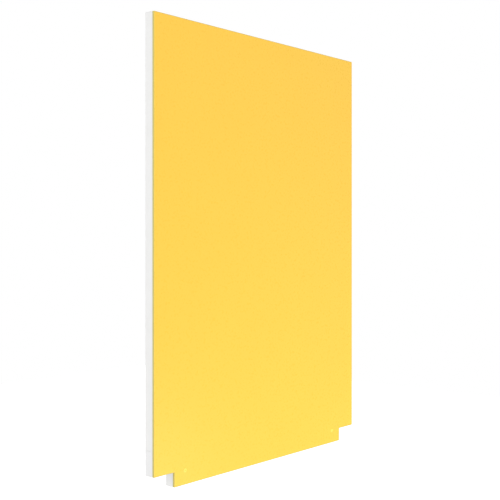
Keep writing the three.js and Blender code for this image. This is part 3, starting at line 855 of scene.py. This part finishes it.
def outer_edges(bm, y):
    """The edges at y that run along the board's outside: its side, its bottom and the notch."""
    found = []
    for edge in bm.edges:
        middle = (edge.verts[0].co + edge.verts[1].co) / 2
        buried = min(middle.z - NOTCH_HEIGHT, HALF_WIDTH - middle.x) > CORNER_RADIUS
        beside = middle.x < run_end + FLAT
        top = middle.z > leg_top - FLAT
        if abs(middle.y - y) < FLAT and edge.calc_length() > FLAT and not (buried or beside or top):
            if all(abs(vert.co.y - y) < FLAT for vert in edge.verts):
                found.append(edge)
    return found


def add_spigot(bm, low, high):
    """Draws a spigot out of the end face that lies between two corners."""
    window = cut_window(bm, low, high)
    outwards = window.normal.copy()
    for length, width in ((SPIGOT - SPIGOT_TAPER, 1.0), (SPIGOT_TAPER, SPIGOT_TIP)):
        verts, (window,) = draw_out(bm, [window], outwards * length)
        about = Matrix.Translation(window.calc_center_median())
        bmesh.ops.transform(bm, matrix=about @ Matrix.Scale(width, 4) @ about.inverted(), verts=verts)

# %% Notch corners
POCKET_RADIUS = 1.2 * MM
POCKET_DEPTH = 11 * MM
POCKET_STEPS = [(0.985, -0.3 * MM), (0.95, 0.6 * MM - POCKET_DEPTH), (0.9, -POCKET_DEPTH)]


def make_notch_corner(name):
    bm = bmesh.new()
    corners = flat_face(bm, notch_outline(), REAR).verts
    round_corners(bm, [corners[0], corners[6]], CORNER_RADIUS)
    _, front = draw_out(bm, bm.faces[:], (0, SHOULDER - REAR, 0))
    bmesh.ops.recalc_face_normals(bm, faces=bm.faces)
    bmesh.ops.inset_individual(bm, faces=front, thickness=SEAT - FRONT, use_even_offset=True)
    draw_out(bm, front, (0, SEAT - SHOULDER, 0))
    bmesh.ops.bevel(
        bm, geom=outer_edges(bm, REAR), offset=RAIL_REAR_EDGE, segments=5, profile=0.5,
        affect="EDGES", material=-1,
    )
    for low, high in notch_pockets():
        ring = box_ring(bm, low, high, REAR, POCKET_RADIUS)
        pierce(bm, ring, margin=0.4 * MM)
        sink(bm, ring, POCKET_STEPS, close=True)
    near, far = SEAT - FRONT + RAIL_WALL + GAP, RAIL_WIDTH - RAIL_WALL - GAP
    front, back = SEAT + RAIL_WALL + GAP, CHAMBER_BACK - GAP
    left, right = HALF_WIDTH - far, HALF_WIDTH - near
    add_spigot(bm, Vector((left, front, leg_top)), Vector((right, back, leg_top)))
    add_spigot(bm, Vector((run_end, front, near)), Vector((run_end, back, far)))
    if name == "left":
        bmesh.ops.scale(bm, verts=bm.verts, vec=(-1, 1, 1))
    return make_piece(bm, f"{name}_notch_moulding", "white_plastic", [f"notch_corner_{name}"])


for name in SIDES:
    moulding_piece = make_notch_corner(name)
print("notch moulding:", len(moulding_piece.data.polygons), "faces")

# %% [markdown]
# ## Back sheet
# A plain galvanised sheet drops into the rebate. It has a window round each hanger block and
# a small hole under every rivet, and its outline steps round the notch corners. Half the outline
# is given, and the other half is its mirror image, so that the two can't differ.

# %% Back sheet
WINDOW_RADIUS = 0.8 * MM
RIVET_HOLE_SEGMENTS = 16
block_low, block_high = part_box("hanger_block_right")


def make_back_sheet():
    bm = bmesh.new()
    side, foot, top = back_high.x, back_low.z, back_high.z
    inner, step = run_end - GAP, block_top + GAP
    upright, leg = HALF_WIDTH - RAIL_WIDTH - GAP, leg_top + GAP
    half_outline = [
        (inner, foot), (inner, step), (upright, step), (upright, leg), (side, leg), (side, top),
    ]
    mirrored = [(-x, z) for x, z in reversed(half_outline)]
    flat_face(bm, half_outline + mirrored, back_high.y)
    for sign in SIDES.values():
        edges = sorted((sign * block_low.x, sign * block_high.x))
        low, high = (edges[0] - GAP, block_low.z - GAP), (edges[1] + GAP, block_high.z + GAP)
        pierce(bm, box_ring(bm, low, high, back_high.y, WINDOW_RADIUS), margin=3 * MM)
    for node in frame["nodes"]:
        if node.startswith("rivet"):
            middle = middle_of(node)
            place = Vector((middle.x, back_high.y, middle.z))
            hole = round_ring(bm, place, RIVET_SHANK + GAP, RIVET_HOLE_SEGMENTS)
            pierce(bm, hole, margin=1 * MM)
    thicken(bm, back_high.y - back_low.y, looks=1)
    return make_piece(bm, "galvanised_back", "galvanised", ["back_sheet"])


back_piece = make_back_sheet()
print("back sheet:", len(back_piece.data.polygons), "faces")

# %% [markdown]
# ## Keyhole hangers
# A grey block fills the depth of the board behind each hanger, with a shallow recess for the
# steel plate and a deeper pocket for the head of the wall screw. The plate is stamped, so its
# edges are slightly rounded. A keyhole could be two holes and a slot cut one after the other. Here
# it is one ring, so that its edge can be rounded in one go: a large circle cut open at the top,
# and a half circle above it, joined by two straight edges.

# %% Hanger block
PLATE_RADIUS = 4 * MM
BLOCK_CORNER = 0.8 * MM
HEAD_POCKET = (11 * MM, 16 * MM)  # half its width and height
HEAD_POCKET_RADIUS = 2.5 * MM
HEAD_POCKET_FLOOR = 5 * MM  # from the face
HANGER_SHANK = 1.6 * MM
PILOT_DEPTH = 10 * MM


def make_hanger_block(name):
    low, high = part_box(f"hanger_block_{name}")
    plate_low, plate_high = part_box(f"hanger_plate_{name}")
    middle = (low + high) / 2
    bm = bmesh.new()
    corners = [(low.x, low.z), (high.x, low.z), (high.x, high.z), (low.x, high.z)]
    round_corners(bm, list(flat_face(bm, corners, high.y).verts), BLOCK_CORNER)
    draw_out(bm, bm.faces[:], (0, low.y - high.y, 0))
    bmesh.ops.recalc_face_normals(bm, faces=bm.faces)
    seat_low = (plate_low.x - GAP, plate_low.z - GAP)
    seat_high = (plate_high.x + GAP, plate_high.z + GAP)
    seat = box_ring(bm, seat_low, seat_high, high.y, PLATE_RADIUS)
    pierce(bm, seat, margin=1 * MM)
    seat_depth = plate_high.y - plate_low.y + GAP
    sink(bm, seat, [(0.998, -0.2 * MM), (0.998, -seat_depth)], close=True)
    floor_y = high.y - seat_depth
    half_width, half_height = HEAD_POCKET
    pocket_low = (middle.x - half_width, middle.z - half_height)
    pocket_high = (middle.x + half_width, middle.z + half_height)
    pocket = box_ring(bm, pocket_low, pocket_high, floor_y, HEAD_POCKET_RADIUS)
    pierce(bm, pocket, margin=0.5 * MM)
    bottom = FRONT + HEAD_POCKET_FLOOR - floor_y
    sink(bm, pocket, [(0.99, -0.4 * MM), (0.96, bottom + 1 * MM), (0.9, bottom)], close=True)
    for number in (1, 2):
        place = middle_of(f"hanger_screw_{name}_{number}")
        hole = round_ring(bm, Vector((place.x, floor_y, place.z)), HANGER_SHANK + GAP, 16)
        pierce(bm, hole, margin=0.5 * MM)
        sink(bm, hole, [(0.95, -PILOT_DEPTH)], close=True)
    soften(bm, 0.15 * MM, segments=2)
    return make_piece(bm, f"{name}_hanger_block", "grey_plastic", [f"hanger_block_{name}"])

# %% Keyhole
KEYHOLE_RADIUS = 5 * MM
SLOT_RADIUS = 2.7 * MM
KEYHOLE_RISE = 12 * MM  # from the circle's centre to that of the slot's end


def keyhole_ring(bm, centre):
    """The keyhole: a circle, open where a slot leaves it upwards, and the slot's rounded end."""
    head = round_ring(bm, centre, KEYHOLE_RADIUS)
    slot = round_ring(bm, centre + Vector((0, 0, KEYHOLE_RISE)), SLOT_RADIUS, 20)
    rise = math.sqrt(KEYHOLE_RADIUS**2 - SLOT_RADIUS**2)  # where the slot's sides meet the circle
    ends = []
    for ring, level, way in ((head, rise, 1), (slot, KEYHOLE_RISE, -1)):
        verts = list({vert for edge in ring for vert in edge.verts})
        cut = centre + Vector((0, 0, level))
        bmesh.ops.bisect_plane(
            bm, geom=verts + ring, plane_co=cut, plane_no=(0, 0, way), clear_outer=True, dist=FLAT
        )
        ends.append([v for v in bm.verts if v.is_wire and abs(v.co.z - cut.z) < 10 * FLAT])
    for vert in ends[0]:
        above = min(ends[1], key=lambda other: abs(other.co.x - vert.co.x))
        bm.edges.new((vert, above))
    return [edge for edge in bm.edges if edge.is_wire]

# %% Hanger plate
HANGER_HEAD = 3.1 * MM


def make_hanger_plate(name):
    low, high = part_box(f"hanger_plate_{name}")
    middle = (low + high) / 2
    bm = bmesh.new()
    corners = [(low.x, low.z), (high.x, low.z), (high.x, high.z), (low.x, high.z)]
    round_corners(bm, list(flat_face(bm, corners, high.y).verts), PLATE_RADIUS)
    centre = Vector((middle.x, high.y, middle.z - KEYHOLE_RISE / 2))
    pierce(bm, keyhole_ring(bm, centre), margin=1.5 * MM)
    for number in (1, 2):
        place = middle_of(f"hanger_screw_{name}_{number}")
        hole = round_ring(bm, Vector((place.x, high.y, place.z)), HANGER_HEAD + GAP)
        pierce(bm, hole, margin=0.8 * MM)
    thicken(bm, high.y - low.y, looks=1)
    soften(bm, 0.25 * MM)
    return make_piece(bm, f"{name}_hanger_plate", "zinc", [f"hanger_plate_{name}"])


for name in SIDES:
    block_piece = make_hanger_block(name)
    plate_piece = make_hanger_plate(name)
print("hanger block:", len(block_piece.data.polygons), "faces")
print("hanger plate:", len(plate_piece.data.polygons), "faces")

# %% [markdown]
# ## Screws
# A cross recess is what makes a small screw read as a screw. It starts as a grid of nine squares:
# the middle five make a cross, which is extruded down and narrowed, as the driver's tip does. The
# grid's edge is bridged to a ring, which is then drawn out over the head, down the cone and along
# the shank. The head faces +Y first, and is turned round if it's driven from the front.

# %% Screws
RECESS_SPAN = 0.52  # of the head's radius, like the next three
RECESS_DEPTH = 0.4
RECESS_TIP = 0.45
HEAD_FLAT = 0.76
HEAD_EDGE = [(0.9, 0), (0.98, -0.02), (1.0, -0.06)]  # (radius, depth)
POINT_LENGTH = 3  # shank radii
HEAD_SEGMENTS = 24
FACE_SCREW_SHANK = 1.6 * MM
TWIST = 20  # radians for each metre of the board, so that each screw stops at its own angle


def make_screw(node, shank, finish, dome=0.0, from_front=False):
    low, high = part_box(node)
    head = (high.x - low.x) / 2
    length = high.y - low.y - dome
    bm = bmesh.new()
    flat = Matrix.Rotation(-math.pi / 2, 4, "X")
    span = RECESS_SPAN * head
    bmesh.ops.create_grid(bm, x_segments=3, y_segments=3, size=span, matrix=flat)
    cross = [f for f in bm.faces if min(abs(c) for c in f.calc_center_median().xz) < span / 6]
    tip, _ = draw_out(bm, cross, (0, -RECESS_DEPTH * head, 0))
    bmesh.ops.scale(bm, verts=tip, vec=(RECESS_TIP, 1, RECESS_TIP))
    rim = [edge for edge in bm.edges if edge.is_boundary]
    start = HEAD_FLAT * head
    ring = round_ring(bm, Vector(), start, HEAD_SEGMENTS)
    join_rings(bm, rim, ring, (0, 1, 0))
    cone = head - shank
    steps = [(radius * head, depth * head) for radius, depth in HEAD_EDGE]
    steps += [(shank, -cone), (shank, POINT_LENGTH * shank - length), (shank / 4, -length)]
    sink(bm, ring, [(radius / start, depth) for radius, depth in steps], close=True)
    for vert in bm.verts:
        reach = min(vert.co.xz.length / head, 1)
        if vert.co.y > -cone:
            vert.co.y += dome * (1 - reach**2)
    middle = middle_of(node)
    place = Matrix.Translation((middle.x, FRONT if from_front else high.y, middle.z))
    twist = Matrix.Rotation(TWIST * (middle.x + middle.z), 4, "Y")
    turn = Matrix.Rotation(math.pi if from_front else 0, 4, "Z")
    bmesh.ops.transform(bm, matrix=place @ twist @ turn, verts=bm.verts)
    return make_piece(bm, f"{node}_turned", finish, [node])


for node in sorted(frame["nodes"]):
    if node.startswith("face_screw"):
        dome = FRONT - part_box(node)[0].y
        # Painted highlight: the caps take the lighter lacquer for the light on their domes.
        make_screw(node, FACE_SCREW_SHANK, "painted_highlight", dome, from_front=True)
    elif node.startswith("hanger_screw"):
        make_screw(node, HANGER_SHANK, "zinc")
    elif node.startswith("pin_screw"):
        make_screw(node, PIN_SHANK, "zinc")

# %% [markdown]
# ## Rivets and wall pads
# Both are round. Each could be a cylinder with bevelled edges, but half a section spun about its
# axis gives every groove and dome in one go. A blind rivet keeps a stub of its mandrel in a hole
# at the middle of the head. A pad has two shallow ring grooves, so that it grips the wall.

# %% Turned pieces
def spin_section(node, points, finish, name, segments):
    """Spins a half section of (radius, height) points, in mm from the back sheet."""
    bm = bmesh.new()
    middle = middle_of(node)
    base = Vector((middle.x, back_high.y, middle.z))
    verts = [bm.verts.new(base + MM * Vector((radius, height, 0))) for radius, height in points]
    edges = [bm.edges.new(pair) for pair in zip(verts, verts[1:])]
    bmesh.ops.spin(
        bm, geom=verts + edges, cent=base, axis=(0, 1, 0), angle=2 * math.pi, steps=segments,
        use_merge=True,
    )
    bmesh.ops.remove_doubles(bm, verts=bm.verts, dist=FLAT)
    return make_piece(bm, name, finish, [node])


RIVET_SEGMENTS = 24
PAD_SEGMENTS = 64

rivet_section = [
    (0, 0.42), (0.55, 0.42), (0.7, 0.32), (0.74, 0.12), (0.9, 0.12), (0.95, 0.72), (1.05, 0.86),
    (1.2, 0.9), (1.55, 0.85), (1.95, 0.68), (2.3, 0.42), (2.52, 0.16), (2.6, 0.02), (2.55, 0),
    (1.5, 0), (1.5, -3.7), (1.2, -4), (0, -4),
]
pad_section = [
    (0, 1.6), (2.2, 1.6), (2.6, 1.75), (2.8, 2.0), (3.0, 2.1), (5.0, 2.1), (5.2, 2.0), (5.4, 1.75),
    (5.7, 1.65), (6.0, 1.75), (6.2, 2.0), (6.4, 2.1), (9.2, 2.1), (9.6, 1.98), (9.85, 1.7),
    (10.0, 1.3), (10.0, 0.15), (9.9, 0), (0, 0),
]
for node in sorted(frame["nodes"]):
    if node.startswith("rivet"):
        spin_section(node, rivet_section, "rivet_metal", f"{node}_set", RIVET_SEGMENTS)
    elif node.startswith("wall_pad"):
        spin_section(node, pad_section, "rubber", f"{node}_grooved", PAD_SEGMENTS)

# %% [markdown]
# ## Honeycomb core
# The sheets are kept apart by kraft paper, pulled open into six-sided cells that stand on edge. It
# weighs little, and is stiff once both sheets are glued to it. A pattern of cells on a solid block
# would look right from the front only, so the webs are made. One hexagon is repeated over the
# board, its copies are merged, and each cell is inset by half the paper's thickness and taken out.
# What is left is drawn out to the core's depth, and four cuts trim it through the cells, as a saw
# would.

# %% Honeycomb core
CELL_SIDE = 15 * MM
CELL_WIDTH = CELL_SIDE * math.sqrt(3)  # across the flats
WEB = 0.8 * MM  # two papers and the glue between them
FIRST_CELL = Vector((-0.3, 0, -0.2)) * CELL_WIDTH  # past the corner, so that no web lies along a cut


def make_core(node):
    low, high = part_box(node)
    bm = bmesh.new()
    row_step = 1.5 * CELL_SIDE
    upright = Matrix.Rotation(math.pi / 2, 4, "X")
    for row in range(math.ceil((high.z - low.z) / row_step) + 1):
        for column in range(math.ceil((high.x - low.x) / CELL_WIDTH) + 1):
            step = Vector(((column + row % 2 / 2) * CELL_WIDTH, 0, row * row_step))
            place = Matrix.Translation(low + FIRST_CELL + step) @ upright
            bmesh.ops.create_circle(bm, cap_ends=True, segments=6, radius=CELL_SIDE, matrix=place)
    bmesh.ops.remove_doubles(bm, verts=bm.verts, dist=10 * FLAT)
    cells = bm.faces[:]
    bmesh.ops.inset_individual(bm, faces=cells, thickness=WEB / 2, use_even_offset=True)
    bmesh.ops.delete(bm, geom=cells, context="FACES_ONLY")
    draw_out(bm, bm.faces[:], (0, high.y - low.y, 0))
    for normal in (Vector((1, 0, 0)), Vector((0, 0, 1))):
        saw(bm, high, normal)
        saw(bm, low, -normal)
    return make_piece(bm, f"{node}_cells", "honeycomb", [node])


for node in sorted(frame["nodes"]):
    if node.startswith("core"):
        core_piece = make_core(node)
        print(node, len(core_piece.data.polygons), "faces")

# %% [markdown]
# ## Corner keys
# The keys inside the mitred corners are right as designed, so they keep their shape and take the
# grey nylon.

# %% Corner keys
for node, shown in frame["nodes"].items():
    if node.startswith("corner_key"):
        shown.material_slots[0].material = finishes["grey_plastic"]
